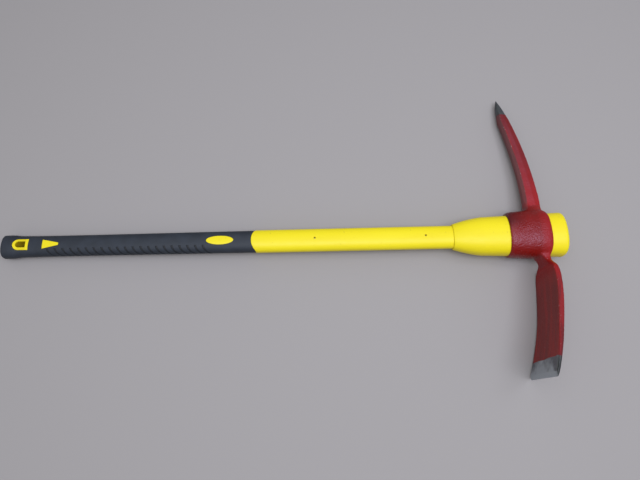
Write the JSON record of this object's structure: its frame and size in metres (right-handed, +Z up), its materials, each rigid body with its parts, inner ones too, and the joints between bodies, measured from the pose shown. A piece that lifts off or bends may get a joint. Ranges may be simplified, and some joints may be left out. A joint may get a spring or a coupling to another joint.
{
  "type": "pick mattock",
  "caption": "Pick mattock with a one-piece red forged head, curved pick and broad adze blade, on a long yellow handle with a black rubber grip.",
  "frame": {"origin": "middle of the tool's box, on the floor that it lies on", "axes": "+X along the handle from the butt to the head, +Y towards the pick, +Z up from the floor"},
  "size_m": [0.9174, 0.4888, 0.1019],
  "materials": {
    "red_paint_on_forging": "satin dark red paint over a slightly pebbled forging, bare steel at the point and the cutting edge",
    "yellow_polypropylene": "satin moulded lemon yellow",
    "amber_glass_fibre": "pultruded, satin",
    "black_soft_rubber": "matt bluish black, moulded"
  },
  "bodies": {
    "root": {"mattock_head": "red_paint_on_forging", "head_end_sleeve": "yellow_polypropylene", "handle_jacket": "yellow_polypropylene", "fiberglass_core": "amber_glass_fibre", "rubber_grip": "black_soft_rubber"}
  },
  "joints": []
}
